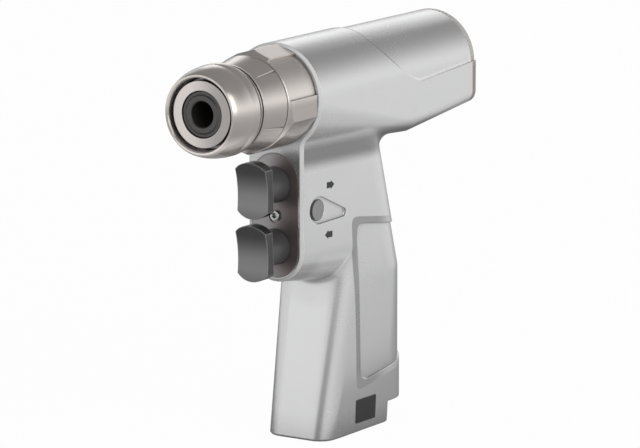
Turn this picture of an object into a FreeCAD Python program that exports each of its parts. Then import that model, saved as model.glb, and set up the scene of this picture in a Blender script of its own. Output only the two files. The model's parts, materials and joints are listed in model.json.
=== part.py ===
import FreeCAD, Part
import os
from math import acos, atan, cos, hypot, pi, radians, sin, sqrt, tan

# Battery-driven surgical drill in pistol form, in millimetres.
# +X runs forward out of the nose along the drive axis, +Y is the drill's left, +Z is up.
# The origin is the centre of the attachment bore's mouth. Places inside the housing are
# given as a depth behind the housing's front face, which at() turns into an X.

V = FreeCAD.Vector
X, Y, Z = V(1, 0, 0), V(0, 1, 0), V(0, 0, 1)

# Clearances
running = 0.05          # radial gap of a shaft in its bearing or bush
seat = 0.1              # gap round a piece dropped into its pocket
air = 0.3               # gap between pieces that pass each other

# Barrel
nose_reach = 48.0       # bore mouth to the housing's front face
barrel_length = 113.3   # housing's front face to the back of the rear cap
barrel_r = 20.0
wall = 2.4
corner_r = 5.0          # lower corners of the barrel behind the nose
belly_drop = 1.2        # underside above the handle lies this far below the round
belly_rise = 3.7        # underside at the rear cap lies this far above it
square_depth = 66.0     # where the round front has become the square-bellied section
front_wall = 8.0
cap_thick = 2.4
relief = 0.7            # how far the rear top is set in
relief_front = 46.8     # front face to where the relief's border leaves the top
relief_front_z = 16.5
relief_fall = 4.0       # pull of the border downwards there
relief_run = 11.2       # pull of the border forwards at its lowest point
relief_low = 74.0
relief_low_z = -2.2
relief_rear_z = 0.7     # border's height at the rear cap
rim_chamfer = 0.9
foot_chamfer = 0.6

# Keyhole column and handle
column_half = 11.8      # half-width of the column at the front face
side_slope = 0.15       # how fast the sides spread towards the rear
foot_slope = 0.04
neck_z = -8.0           # top of the handle, inside the barrel
waist_z = -72.0
foot_z = -132.8
heel_z = -124.5         # underside of the heel above the notch
notch_depth = 54.5      # front face to the notch's upright face
shin_waist = 25.5       # front face to the handle's front, at the waist
shin_foot = 13.0
half_foot = 13.9
shin_r = 7.0
back_neck = 36.2        # front face to the centre of the rounded back
back_waist = 51.8
back_foot = 59.0
floor_thick = 3.0
seam_r = 5.0            # blend between barrel and handle
grip_relief = 0.7       # how far the panel on the handle is set in
panel_top = 30.7        # front face to the panel's upper front corner
panel_top_z = -51.0
panel_low = 35.3        # the same for its lower front corner
panel_low_z = -113.5
panel_rear = 90.0       # past the handle's back, where the two borders below end
panel_rear_top_z = -59.0
panel_rear_low_z = -104.0
panel_corner_r = 5.0

# Triggers
upper_z = -33.0
trigger_pitch = 23.5
plunger_r = 6.6
plunger_inset = 12.0    # front face back to the plunger's inner end, at rest
plunger_bore_r = 4.6
plunger_web = 3.0       # front face back to the plunger's spring seat
pad_half = 6.6
pad_height = 21.4
pad_arch = 2.8          # rise of the pad's top and bottom edges at the middle
pad_reach = 15.1        # front face out to the hollow of the pad's front
pad_lip = 2.8           # how far the top edge stands forward of the hollow
pad_toe = 0.9           # the same for the bottom edge
pad_thick = 3.6
pad_hollow_drop = 1.5   # pad's middle down to the bottom of its hollow
pad_lean_low = 0.6      # how far the back of the pad turns rearward at its lower end
pad_lean_top = 0.8      # the same forward, at its upper end
plate_half = 10.15
plate_thick = 1.5
plate_overrun = 1.45    # how far the plate's arcs are centred beyond the triggers
block_half = 8.6
block_depth = 28.0
block_floor = 4.0
spring_wire = 0.8
spring_turns = 4

# Safety cross-bolt
bolt_depth = 9.6
bolt_z = -43.0
bolt_shaft_r = 2.6
bolt_head_r = 3.9
bolt_head_length = 4.6
bolt_travel = 2.5
bolt_face = 12.9        # axis of the drill out to the bolt's left face, at rest
dish_r = 5.2            # recess round the bolt
dish_tail = 13.6        # length of the recess's tail
dish_tail_drop = 2.6
dish_tail_r = 1.7
dish_depth = 0.9

# Nose and collar
hub_r = 8.4
hub_step_r = 6.8
hub_length = 9.0
hub_lead = 0.4          # hub's face ahead of the bore's mouth, taken up by a chamfer
bore_r = 4.75
bore_depth = 20.0
journal_r = 7.0
nose_r = 12.25          # outside of the fixed nose body
nose_inner_r = 10.5
flange_drop = 3.0       # barrel's radius down to the nose flange
flange_thick = 3.0
spigot_drop = 5.6       # the same for the spigot behind it
rim_x = 2.0
rim_r = 14.6
mouth_r = 13.5          # inside of the collar's rim
ogive_r = 17.0
ogive_x = -8.5
band_x = -12.1
groove_r = 15.5
groove_deep = 0.6
sleeve_x = -16.9
flare_drop = 0.3        # grip ring's band down to the sleeve's flared end
grip_x = -29.6
grip_low = 2.0          # barrel's radius down to the grip ring's band
grip_high = 0.95        # the same for its lobes
grip_corner = 0.3       # the same for the corner between a lobe's flats
lobe_count = 2
lobe_middle = -34.5     # middle of the first lobe, from the top towards the left side
lobe_half = 62.5        # half-angle of a lobe
lobe_flat = 24.0        # angle of the flat next to a lobe's edge
flute_count = 5
flute_start = 43.0
flute_width = 1.5
flute_depth = 0.5
groove_count = 2
collar_shoulder = 6.0   # bore mouth back to the collar's shoulder

# Cannulation
wire_bore_r = 2.1
tube_r = 2.5

# Planetary stage
gear_gap = 0.4
bell_gap = 2.0          # behind the gears
ring_wall = 1.045       # ring gear's rim behind its teeth
sun_teeth = 15
planet_teeth = 15
planet_count = 3
pressure = radians(20)
addendum = 0.8
dedendum = 1.15
backlash = 0.06
sun_overhang = 0.5
gear_width = 9.6
carrier_rim = 1.0       # metal outside the planet pins
carrier_thick = 3.4
pin_r = 1.75
pin_collar_r = 2.85

# Motor
bell_thick = 5.0
stator_length = 33.0
stator_wall = 7.8
winding_overhang = 2.4
slot_count = 9
slot_width = 3.0
slot_deep = 3.4
slot_lip = 1.3          # bore of the stator to the slots
motor_gap = 0.6
shaft_r = 4.0
shaft_nose_r = 3.5
motor_bearing_r = 7.5
motor_bearing_width = 4.0
spindle_bearing_width = 5.0
race_share = 0.35       # inner race's part of the bearing's height
race_gap = 0.6
board_gap = 4.5
board_thick = 1.6
sensor_wall = 2.4       # radial height of the sensor magnet
sensor_gap = 1.0        # sensor magnet to the board
controller_gap = 6.1    # controller's back to the rear cap's plug

# Battery socket
socket_front = 22.0     # front face back to the liner
socket_length = 29.0
socket_half = 10.5
socket_depth = 29.5
liner = 1.5
contact_height = 5.5
contact_length = 14.0
contact_half = 7.0
blade_count = 4
blade_length = 10.0
blade_wide = 6.0
blade_thick = 0.8

# Small fittings
cap_plug = 2.0
cap_screw_r = 1.0
cap_head_r = 1.8
cap_head_sink = 1.4
cap_boss_r = 2.6
tube_flange = 1.2
tube_flange_r = 4.0
plate_dish = 0.5        # depth of the dish round the plate screw
plate_dish_r = 2.85
plate_head_r = 1.9
plate_screw_r = 1.25
plate_screw_reach = 6.5
bolt_guide = 3.1        # depth of the block's guide for the bolt's heads
seal_thick = 1.2
seal_width = 1.6
seal_place = 2.5
snap_width = 1.0
snap_sink = 0.8
snap_proud = 0.9
board_drop = 12.0       # drive axis down to the electronics' flat underside

# Worked out from the above
beyond = 200.0          # reach of a cutting tool, past any outline
full_turn = 360.0
front_x = -nose_reach
belly_front = barrel_r + belly_drop
belly_rear = barrel_r - belly_rise
inner_r = barrel_r - wall
lower_z = upper_z - trigger_pitch
plate_top = upper_z + plate_overrun
plate_low = lower_z - plate_overrun
middle_z = (upper_z + lower_z) / 2
cap_depth = barrel_length - cap_thick
flange_r = barrel_r - flange_drop
spigot_r = barrel_r - spigot_drop
ring_teeth = sun_teeth + 2 * planet_teeth
module = (inner_r - ring_wall) / (ring_teeth / 2 + dedendum)
gear_centre = module * (sun_teeth + planet_teeth) / 2
carrier_r = gear_centre + pin_r + carrier_rim
carrier_back = front_wall + carrier_thick + air
gear_front = carrier_back + gear_gap
gear_back = gear_front + gear_width
bell_front = gear_back + bell_gap
stator_front = bell_front + bell_thick
stator_back = stator_front + stator_length
bell_back = stator_back + bell_thick
board_front = bell_back + board_gap
board_back = board_front + board_thick
controller_length = cap_depth - cap_plug - controller_gap - board_back
stator_bore_r = inner_r - stator_wall
magnet_r = stator_bore_r - motor_gap
pad_back = pad_reach - pad_thick
grip_low_r = barrel_r - grip_low
grip_high_r = barrel_r - grip_high
grip_corner_r = barrel_r - grip_corner
flare_r = grip_low_r - flare_drop
half_waist = column_half + side_slope * shin_waist
pod_depth = shin_waist + shin_r + 1.0


def at(depth):
    return front_x - depth


def between(z, z0, v0, z1, v1):
    return v0 + (v1 - v0) * (z - z0) / (z1 - z0)


def rod(r, x0, x1, y=0.0, z=0.0):
    return Part.makeCylinder(r, abs(x1 - x0), V(min(x0, x1), y, z), X)


def ring(inner, outer, x0, x1):
    return rod(outer, x0, x1).cut(rod(inner, x0 - 1, x1 + 1) if x0 < x1 else rod(inner, x0 + 1, x1 - 1))


def block(x0, x1, half, z0, z1):
    return Part.makeBox(abs(x1 - x0), 2 * half, abs(z1 - z0), V(min(x0, x1), -half, min(z0, z1)))


def outline(path):
    # Closed wire through points; an entry (middle, end) is an arc from the last point.
    edges = []
    last = path[0]
    for step in path[1:] + path[:1]:
        if isinstance(step, tuple):
            edges.append(Part.Arc(last, step[0], step[1]).toShape())
            last = step[1]
        else:
            edges.append(Part.LineSegment(last, step).toShape())
            last = step
    return Part.Wire(edges)


def turned(path):
    # Solid of revolution about the drive axis. An entry is (x, r), or (x, r, mid x, mid r)
    # for an arc that ends at (x, r).
    steps = [V(path[0][0], 0, path[0][1])]
    for p in path[1:]:
        end = V(p[0], 0, p[1])
        steps.append((V(p[2], 0, p[3]), end) if len(p) == 4 else end)
    return Part.Face(outline(steps)).revolve(V(0, 0, 0), X, 360)


def stadium(half, z_top, z_low, depth):
    x = at(depth)
    return outline([
        V(x, -half, z_top),
        (V(x, 0, z_top + half), V(x, half, z_top)),
        V(x, half, z_low),
        (V(x, 0, z_low - half), V(x, -half, z_low)),
    ])


def slab(half, z_top, z_low, depth0, depth1):
    # Stadium-shaped plate between two depths.
    return Part.Face(stadium(half, z_top, z_low, depth0)).extrude(V(depth0 - depth1, 0, 0))


def belly(depth):
    return between(depth, square_depth, belly_front, barrel_length, belly_rear)


def belly_section(depth, low, corner, inset):
    # Lower half of the barrel: upright sides, round corners and a flat underside.
    x, r, c = at(depth), barrel_r - inset, corner - inset
    z = inset - low
    s = c * sqrt(0.5)
    return outline([
        V(x, -r, 0),
        V(x, r, 0),
        V(x, r, z + c),
        (V(x, r - c + s, z + c - s), V(x, r - c, z)),
        V(x, c - r, z),
        (V(x, c - r - s, z + c - s), V(x, -r, z + c)),
    ])


def between_depths(depth0, depth1, low=-2.0, high=2.0):
    return block(at(depth0), at(depth1), 2 * barrel_r, low * barrel_r, high * barrel_r)


def barrel_body(inset, depth0, depth1):
    # Half-round on top; below it goes from round at the front to square-bellied.
    nearly = barrel_r - 0.4
    front = belly_section(0, barrel_r, nearly, inset)
    middle = belly_section(square_depth, belly_front, corner_r, inset)
    rear = belly_section(barrel_length, belly_rear, corner_r, inset)
    lower = Part.makeLoft([front, middle], True, True)
    lower = lower.fuse(Part.makeLoft([middle, rear], True, True))
    upper = rod(barrel_r - inset, at(0), at(barrel_length)).common(between_depths(0, barrel_length, 0))
    return upper.fuse(lower).removeSplitter().common(between_depths(depth0, depth1))


def cavity(gap, depth0, depth1):
    # Hollow of the barrel: round, with a square-cornered trough in the belly.
    r = inner_r - gap
    half = r - 0.8
    floor = wall + gap
    x_front, x_middle, x_rear = at(0), at(square_depth), at(barrel_length)
    trough = block(x_middle, x_rear, half, -beyond, 0)
    low = [V(x_front, -beyond, floor - belly_front), V(x_middle, -beyond, floor - belly_front)]
    low += [V(x_rear, -beyond, floor - belly_rear)]
    corners = low + [V(x_rear, -beyond, beyond), V(x_front, -beyond, beyond)]
    over_floor = Part.Face(Part.makePolygon(corners + corners[:1])).extrude(V(0, 2 * beyond, 0))
    both = rod(r, x_front, x_rear).fuse(trough).common(over_floor)
    return both.common(between_depths(depth0, depth1))


def handle_section(z, shin, half, back, slope, inset):
    # Flat shin with round corners, sides that spread to the rear, and a round back.
    a = atan(slope)
    n_u, n_y = -sin(a), cos(a)
    r = shin_r - inset
    front = shin + inset
    cu = front + r
    cy = half + slope * (cu - shin) - (inset + r) / cos(a)
    big = (half + slope * (back - shin)) * cos(a) - inset
    bend = (pi / 2 + a) / 2
    mid_u, mid_y = cu - r * cos(bend), cy + r * sin(bend)
    side_u, side_y = cu + r * n_u, cy + r * n_y
    back_u, back_y = back + big * n_u, big * n_y
    return outline([
        V(at(front), cy, z),
        (V(at(mid_u), mid_y, z), V(at(side_u), side_y, z)),
        V(at(back_u), back_y, z),
        (V(at(back + big), 0, z), V(at(back_u), -back_y, z)),
        V(at(side_u), -side_y, z),
        (V(at(mid_u), -mid_y, z), V(at(front), -cy, z)),
    ])


def handle_at(z, inset):
    # The handle's section at a height: straight runs from neck to waist and waist to foot.
    half = half_waist if z >= waist_z else between(z, waist_z, half_waist, foot_z, half_foot)
    if z >= waist_z:
        back = between(z, neck_z, back_neck, waist_z, back_waist)
        return handle_section(z, shin_waist, half, back, side_slope, inset)
    shin = between(z, waist_z, shin_waist, foot_z, shin_foot)
    back = between(z, waist_z, back_waist, foot_z, back_foot)
    slope = between(z, waist_z, side_slope, foot_z, foot_slope)
    return handle_section(z, shin, half, back, slope, inset)


def handle_body(inset, low):
    sections = [handle_at(z, inset) for z in (neck_z, waist_z, low)]
    return Part.makeLoft(sections, True, True)


def chorded(wire, steps):
    # Same outline with every edge that isn't straight cut into chords.
    points = []
    for edge in wire.OrderedEdges:
        count = 1 if isinstance(edge.Curve, Part.Line) else steps
        first, last = edge.FirstParameter, edge.LastParameter
        if edge.Orientation == "Reversed":
            first, last = last, first
        points += [edge.valueAt(first + (last - first) * i / count) for i in range(count)]
    return Part.makePolygon(points + points[:1])


def handle_hollow(low):
    sections = [chorded(handle_at(z, wall), 4) for z in (neck_z, waist_z, low)]
    return Part.makeLoft(sections, True, True)


def pod_body(inset, depth0, depth1, z_top):
    # Trigger column: keyhole stadium that spreads with the handle's sides.
    wires = []
    for depth in (depth0, depth1):
        half = column_half + side_slope * depth - inset
        wires.append(stadium(half, z_top, plate_low, depth))
    return Part.makeLoft(wires, True, True)


def rear_top_relief():
    # Space above a line that sweeps down the side and runs back to the rear cap.
    side, rear_x, z_high = -beyond, at(barrel_length + 2), 2 * barrel_r
    start, low = V(at(relief_front), side, relief_front_z), V(at(relief_low), side, relief_low_z)
    sweep = Part.BezierCurve()
    sweep.setPoles([start, start - V(0, 0, relief_fall), low + V(relief_run, 0, 0), low])
    corners = [low, V(rear_x, side, relief_rear_z), V(rear_x, side, z_high)]
    corners += [V(at(relief_front), side, z_high), start]
    edges = [sweep.toShape()]
    edges += [Part.LineSegment(a, b).toShape() for a, b in zip(corners, corners[1:])]
    tool = Part.Face(Part.Wire(edges)).extrude(V(0, 2 * beyond, 0))
    return tool.cut(barrel_body(relief, 0, barrel_length + 3))


def grip_recess():
    # Panel set into both sides of the handle and round its back.
    front = [V(at(panel_top), -beyond, panel_top_z), V(at(panel_low), -beyond, panel_low_z)]
    rear = [V(at(panel_rear), -beyond, panel_rear_low_z), V(at(panel_rear), -beyond, panel_rear_top_z)]
    corners = front + rear
    tool = Part.Face(Part.makePolygon(corners + corners[:1])).extrude(V(0, 2 * beyond, 0))
    across_grip = [e for e in tool.Edges if abs(e.tangentAt(e.FirstParameter).y) > 0.99]
    corners_seen = [e for e in across_grip if e.Vertexes[0].X > at(panel_low + 1)]
    return tool.makeFillet(panel_corner_r, corners_seen).cut(handle_body(grip_relief, foot_z))


def bolt_dish(side):
    # Teardrop recess round the safety bolt; its tail points to the rear.
    u, z = bolt_depth, bolt_z
    tail_u, tail_z = u + dish_tail, z - dish_tail_drop
    gap = hypot(dish_tail, dish_tail_drop)
    lean = atan(dish_tail_drop / dish_tail)
    open_angle = acos((dish_r - dish_tail_r) / gap)
    points = []
    for sign in (1, -1):
        angle = -lean + sign * open_angle
        points.append((u + dish_r * cos(angle), z + dish_r * sin(angle)))
        points.append((tail_u + dish_tail_r * cos(angle), tail_z + dish_tail_r * sin(angle)))
    (a0, a1), (b0, b1) = (points[0], points[1]), (points[2], points[3])
    spread = dish_depth / cos(atan(side_slope))

    def vec(p):
        return V(at(p[0]), 0, p[1])

    path = [
        vec(a0),
        (vec((u - dish_r * cos(lean), z + dish_r * sin(lean))), vec(b0)),
        vec(b1),
        (vec((tail_u + dish_tail_r * cos(lean), tail_z - dish_tail_r * sin(lean))), vec(a1)),
    ]
    tool = Part.Face(outline(path)).extrude(V(0, side * beyond, 0))
    keep = pod_body(spread, 0, pod_depth + 20, plate_top)
    return tool.cut(keep)


def lies_on(shape, point):
    return shape.Shells[0].distToShape(Part.Vertex(point))[0] < 0.001


def blend_seam(upper, lower):
    # Joins two bodies and rounds the inside corner where their skins cross.
    both = upper.fuse(lower).removeSplitter()
    seam = []
    for edge in both.Edges:
        middle = edge.valueAt((edge.FirstParameter + edge.LastParameter) / 2)
        if lies_on(upper, middle) and lies_on(lower, middle) and middle.x < at(0) - 0.01:
            seam.append(edge)
    return both.makeFillet(seam_r, seam)


def chamfer_face(shape, size, chosen):
    # Chamfers the outer border of the faces that chosen() picks.
    border = []
    for face in shape.Faces:
        if chosen(face.BoundBox):
            border += face.OuterWire.Edges
    return shape.makeChamfer(size, border)


def make_housing():
    grip = pod_body(0, 0, pod_depth, neck_z - 6).fuse(handle_body(0, foot_z)).removeSplitter()
    shell = blend_seam(barrel_body(0, 0, cap_depth), grip)
    shell = chamfer_face(shell, rim_chamfer, lambda box: abs(box.XMin - at(0)) < 0.001)
    shell = shell.cut(rear_top_relief())
    shell = shell.cut(grip_recess())
    shell = shell.cut(block(at(notch_depth), at(beyond), beyond, foot_z - 1, heel_z))
    shell = chamfer_face(shell, foot_chamfer, lambda box: box.ZMax < heel_z - 1)
    hollow = cavity(0, front_wall, cap_depth + 1)
    hollow = hollow.fuse(pod_body(wall, plate_thick + 2, block_depth + 2, plate_top))
    hollow = hollow.fuse(handle_hollow(foot_z + floor_thick))
    under_heel = block(at(notch_depth - floor_thick), at(beyond), beyond, foot_z - 1, heel_z + floor_thick)
    hollow = hollow.cut(under_heel)
    shell = shell.cut(hollow)
    shell = shell.cut(rod(flange_r + seat, at(0) + 1, at(flange_thick)))
    shell = shell.cut(rod(spigot_r + seat, at(0), at(front_wall + 1)))
    shell = shell.cut(slab(plate_half + seat, plate_top, plate_low, -1, plate_thick))
    shell = shell.cut(slab(block_half + seat, plate_top, plate_low, 0, plate_thick + 3))
    for side in (1, -1):
        shell = shell.cut(bolt_dish(side))
    shell = shell.cut(across(bolt_head_r + running, -beyond, beyond))
    socket_x0, socket_x1 = at(socket_front), at(socket_front + socket_length)
    return shell.cut(block(socket_x0, socket_x1, socket_half, foot_z - 1, foot_z + 2 * floor_thick))


def make_rear_cap():
    plate = barrel_body(0, cap_depth, barrel_length).cut(rear_top_relief())
    plug = cavity(seat, cap_depth - cap_plug, cap_depth)
    cap = plate.fuse(plug).cut(rod(tube_r, at(cap_depth - 10), at(barrel_length + 1)))
    for y, z in cap_screw_places():
        cap = cap.cut(rod(cap_screw_r, at(cap_depth - 10), at(barrel_length + 1), y, z))
        cap = cap.cut(rod(cap_head_r + seat, at(barrel_length - cap_head_sink), at(barrel_length + 1), y, z))
    flange = rod(tube_flange_r + seat, at(barrel_length - tube_flange), at(barrel_length + 1))
    return cap.cut(flange)


def cap_screw_places():
    upper, lower = (inner_r - cap_boss_r) * sqrt(0.5), belly_rear - wall - cap_boss_r
    return [
        (upper, upper), (-upper, upper),
        (inner_r - cap_boss_r - 1, -lower), (-inner_r + cap_boss_r + 1, -lower),
    ]


def make_cap_screws():
    screws = []
    for y, z in cap_screw_places():
        shank = rod(cap_screw_r, at(cap_depth - cap_plug - 3), at(barrel_length - cap_head_sink), y, z)
        head = rod(cap_head_r, at(barrel_length - cap_head_sink), at(barrel_length - 0.2), y, z)
        screws.append(shank.fuse(head).cut(hex_hole(0.9, at(barrel_length - 1.3), at(barrel_length), y, z)))
    return Part.makeCompound(screws)


def hex_hole(across, x0, x1, y, z):
    corners = [V(x0, y + across * sin(radians(60 * i)), z + across * cos(radians(60 * i))) for i in range(7)]
    return Part.Face(Part.makePolygon(corners)).extrude(V(x1 - x0, 0, 0))


def make_trigger_plate():
    plate = slab(plate_half, plate_top, plate_low, 0, plate_thick)
    for z in (upper_z, lower_z):
        plate = plate.cut(rod(plunger_r + seat, at(-1), at(plate_thick + 1), 0, z))
    plate = plate.cut(rod(plate_dish_r, at(-1), at(plate_dish), 0, middle_z))
    return plate.cut(rod(plate_screw_r, at(-1), at(plate_thick + 1), 0, middle_z))


def make_plate_screw():
    head = rod(plate_head_r, at(-0.6), at(plate_dish), 0, middle_z)
    shank = rod(plate_screw_r, at(plate_dish), at(plate_screw_reach), 0, middle_z)
    return head.fuse(shank).cut(hex_hole(1.1, at(0.4), at(-1), 0, middle_z))


def make_trigger_block():
    body = slab(block_half, plate_top, plate_low, plate_thick, block_depth)
    for z in (upper_z, lower_z):
        body = body.cut(rod(plunger_r + running, at(0), at(block_depth - block_floor), 0, z))
    body = body.cut(rod(plate_screw_r, at(0), at(plate_screw_reach), 0, middle_z))
    body = body.cut(across(bolt_shaft_r + running, -beyond, beyond))
    guide = block_half - bolt_guide
    for y0, y1 in ((guide, beyond), (-beyond, -guide)):
        body = body.cut(across(bolt_head_r + running, y0, y1))
    return body


def across(r, y0, y1):
    # Cylinder along the safety bolt's axis.
    return Part.makeCylinder(r, y1 - y0, V(at(bolt_depth), y0, bolt_z), Y)


def make_safety_bolt():
    far = bolt_travel - bolt_face
    bolt = across(bolt_head_r, bolt_face - bolt_head_length, bolt_face)
    bolt = bolt.fuse(across(bolt_head_r, far, far + bolt_head_length))
    return bolt.fuse(across(bolt_shaft_r, far + 1, bolt_face - 1)).removeSplitter()


def make_plunger(z):
    body = rod(plunger_r, at(-pad_back - 1), at(plunger_inset), 0, z)
    body = body.cut(rod(plunger_bore_r, at(plunger_web), at(plunger_inset + 1), 0, z))
    return body.cut(make_pad(z))


def make_pad(z):
    # Concave front that leans forward at the top, arched top and bottom edges.
    half = pad_height / 2
    low, high = z - half, z + half
    hollow, back = at(-pad_reach), at(-pad_back)
    front_low, front_high = V(hollow + pad_toe, 0, low), V(hollow + pad_lip, 0, high)
    back_low, back_high = V(back - pad_lean_low, 0, low), V(back + pad_lean_top, 0, high)
    side = outline([
        front_high,
        (V(hollow, 0, z - pad_hollow_drop), front_low),
        back_low,
        (V(back, 0, z), back_high),
    ])
    body = Part.Face(side).extrude(V(0, 2 * pad_half, 0))
    body.translate(V(0, -pad_half, 0))
    x = at(0)
    face = Part.Face(outline([
        V(x, -pad_half, high - pad_arch),
        (V(x, 0, high), V(x, pad_half, high - pad_arch)),
        V(x, pad_half, low + pad_arch),
        (V(x, 0, low), V(x, -pad_half, low + pad_arch)),
    ]))
    return body.common(face.extrude(V(beyond, 0, 0)))


def make_trigger_spring(z):
    # Flat-wire coil between the plunger's web and the block's floor.
    x0, x1 = at(block_depth - block_floor), at(plunger_web)
    radius = plunger_bore_r - spring_wire - 0.1
    length = x1 - x0
    pitch = (length - spring_wire) / spring_turns
    helix = Part.makeHelix(pitch, length - spring_wire, radius)
    h = spring_wire / 2
    corners = [V(radius - h, 0, -h), V(radius + h, 0, -h), V(radius + h, 0, h), V(radius - h, 0, h)]
    section = Part.makePolygon(corners + corners[:1])
    coil = Part.Wire(helix.Edges).makePipeShell([section], True, True)
    coil.rotate(V(0, 0, 0), Y, 90)
    coil.translate(V(x0 + h, 0, z))
    return coil


def make_nose_body():
    # Fixed barrel of the nose: front lip, bearing bore, flange and spigot.
    back = at(front_wall)
    body = turned([
        (hub_lead, hub_r + air), (hub_lead, nose_r), (at(0), nose_r), (at(0), flange_r),
        (at(flange_thick), flange_r), (at(flange_thick), spigot_r), (back, spigot_r),
        (back, nose_inner_r), (-hub_length, nose_inner_r), (-hub_length, hub_r + air),
    ])
    snap = ring(nose_r - snap_sink, nose_r + 1, -collar_shoulder, -collar_shoulder + snap_width)
    body = body.cut(snap)
    seal = ring(hub_r - 1, hub_r + seal_thick, -seal_place, -seal_place - seal_width)
    return body.cut(seal)


def make_hub_seal():
    return ring(hub_r + running, hub_r + seal_thick, -seal_place, -seal_place - seal_width)


def make_snap_ring():
    return ring(nose_r - snap_sink, nose_r + snap_proud, -collar_shoulder, -collar_shoulder + snap_width)


def make_drive_spindle():
    step = 0.5
    body = turned([
        (hub_lead, bore_r + hub_lead), (hub_lead, hub_step_r), (hub_lead - step, hub_step_r + step),
        (hub_lead - step, hub_r), (-hub_length + air, hub_r), (-hub_length + air, journal_r),
        (at(carrier_back), journal_r), (at(carrier_back), tube_r + seat), (-bore_depth, tube_r + seat),
        (-bore_depth, bore_r), (0, bore_r),
    ])
    return body


def bearing(x0, width, inner, outer):
    # Inner and outer race of a shielded bearing.
    step = (outer - inner) * race_share
    return ring(inner, inner + step, x0, x0 - width), ring(outer - step - race_gap, outer, x0, x0 - width)


def pair_of_bearings(x0, x1, width, inner, outer):
    first, second = bearing(x0, width, inner, outer), bearing(x1, width, inner, outer)
    return Part.makeCompound([first[0], second[0]]), Part.makeCompound([first[1], second[1]])


def tooth_angle(r, pitch_r, half):
    # Half the angle of an involute tooth at radius r; half is its value at the pitch circle.
    base = pitch_r * cos(pressure)

    def involute(radius):
        a = acos(min(1.0, base / radius))
        return tan(a) - a

    return half + involute(pitch_r) - involute(max(r, base))


def toothed_wire(x, teeth, root_r, tip_r, half, y0, z0, phase):
    # Polygon with involute flanks; phase turns a tooth's centre from the top (+Z) towards +Y.
    pitch_r = module * teeth / 2
    rise = [root_r, pitch_r, tip_r]
    points = []
    for i in range(teeth):
        centre = phase + 2 * pi * i / teeth
        flank = [(r, tooth_angle(r, pitch_r, half)) for r in rise]
        turns = [(r, centre - a) for r, a in flank] + [(r, centre + a) for r, a in reversed(flank)]
        points += [V(x, y0 + r * sin(t), z0 + r * cos(t)) for r, t in turns]
    return Part.makePolygon(points + points[:1])


def gear(x0, x1, teeth, y0, z0, phase, bore):
    pitch_r = module * teeth / 2
    half = pi / (2 * teeth) - backlash / (2 * pitch_r)
    root_r, tip_r = pitch_r - dedendum * module, pitch_r + addendum * module
    wire = toothed_wire(x0, teeth, root_r, tip_r, half, y0, z0, phase)
    body = Part.Face(wire).extrude(V(x1 - x0, 0, 0))
    return body.cut(rod(bore, x0 + 1, x1 - 1, y0, z0))


def make_ring_gear():
    pitch_r = module * ring_teeth / 2
    half = pi / (2 * ring_teeth) + backlash / (2 * pitch_r)
    x0, x1 = at(front_wall), at(bell_front)
    tip_r, root_r = pitch_r - addendum * module, pitch_r + dedendum * module
    inner = toothed_wire(x0 + 1, ring_teeth, tip_r, root_r, half, 0, 0, 0)
    return rod(inner_r, x0, x1).cut(Part.Face(inner).extrude(V(x1 - x0 - 2, 0, 0)))


def planet_place(i):
    angle = 2 * pi * i / planet_count
    return angle, gear_centre * sin(angle), gear_centre * cos(angle)


def make_planet(i):
    # A tooth points outwards into the ring gear's space, so a space faces the sun's tooth.
    angle, y, z = planet_place(i)
    return gear(at(gear_front), at(gear_back), planet_teeth, y, z, angle, pin_r + running)


def make_planet_carrier():
    # Disc on the spindle with three pins that carry the planets, each with a collar behind.
    plate = ring(journal_r, carrier_r, at(front_wall + air), at(carrier_back))
    for i in range(planet_count):
        y, z = planet_place(i)[1:]
        plate = plate.fuse(rod(pin_r, at(carrier_back - 1), at(gear_back + 1), y, z))
        plate = plate.fuse(rod(pin_collar_r, at(gear_back + air), at(gear_back + 1), y, z))
    return plate.removeSplitter()


def make_sun_pinion():
    x0, x1 = at(gear_front), at(gear_back + sun_overhang)
    return gear(x0, x1, sun_teeth, 0, 0, 0, shaft_nose_r)


def make_front_bell():
    body = ring(shaft_r + 1.2, inner_r, at(bell_front), at(stator_front))
    pocket = rod(motor_bearing_r, at(stator_front - motor_bearing_width), at(stator_front + 1))
    return body.cut(pocket)


def make_rear_bell():
    body = ring(shaft_r + 1.2, inner_r, at(stator_back), at(bell_back))
    return body.cut(rod(motor_bearing_r, at(stator_back - 1), at(stator_back + motor_bearing_width)))


def slot_bar(i, x0, x1, gap):
    # Straight bar in the i-th slot of the stator.
    low = stator_bore_r + slot_lip - gap
    bar = block(x0, x1, slot_width / 2 + gap, low, low + slot_deep + 2 * gap)
    bar.rotate(V(0, 0, 0), X, full_turn * i / slot_count)
    return bar


def make_stator_core():
    x0, x1 = at(stator_front + winding_overhang), at(stator_back - winding_overhang)
    core = ring(stator_bore_r, inner_r, x0, x1)
    for i in range(slot_count):
        core = core.cut(slot_bar(i, x0 + 1, x1 - 1, 0))
    return core


def make_stator_windings():
    # Two end turns joined by the copper in the slots.
    inner, outer = stator_bore_r + slot_lip / 2, stator_bore_r + slot_lip + slot_deep + 1
    x0, x1 = at(stator_front), at(stator_back)
    coil = ring(inner, outer, x0, x0 - winding_overhang)
    coil = coil.fuse(ring(inner, outer, x1 + winding_overhang, x1))
    for i in range(slot_count):
        coil = coil.fuse(slot_bar(i, x0 - 0.5, x1 + 0.5, 0))
    return coil.removeSplitter()


def make_rotor_shaft():
    nose, neck, tail = at(gear_front), at(gear_back + sun_overhang), at(board_front - sensor_gap)
    return turned([
        (nose, tube_r + seat), (nose, shaft_nose_r), (neck, shaft_nose_r), (neck, shaft_r),
        (tail, shaft_r), (tail, tube_r + seat),
    ])


def make_rotor_magnet():
    return ring(shaft_r, magnet_r, at(stator_front + winding_overhang), at(stator_back - winding_overhang))


def make_sensor_magnet():
    return ring(shaft_r, shaft_r + sensor_wall, at(bell_back + gear_gap), at(board_front - sensor_gap))


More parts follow.
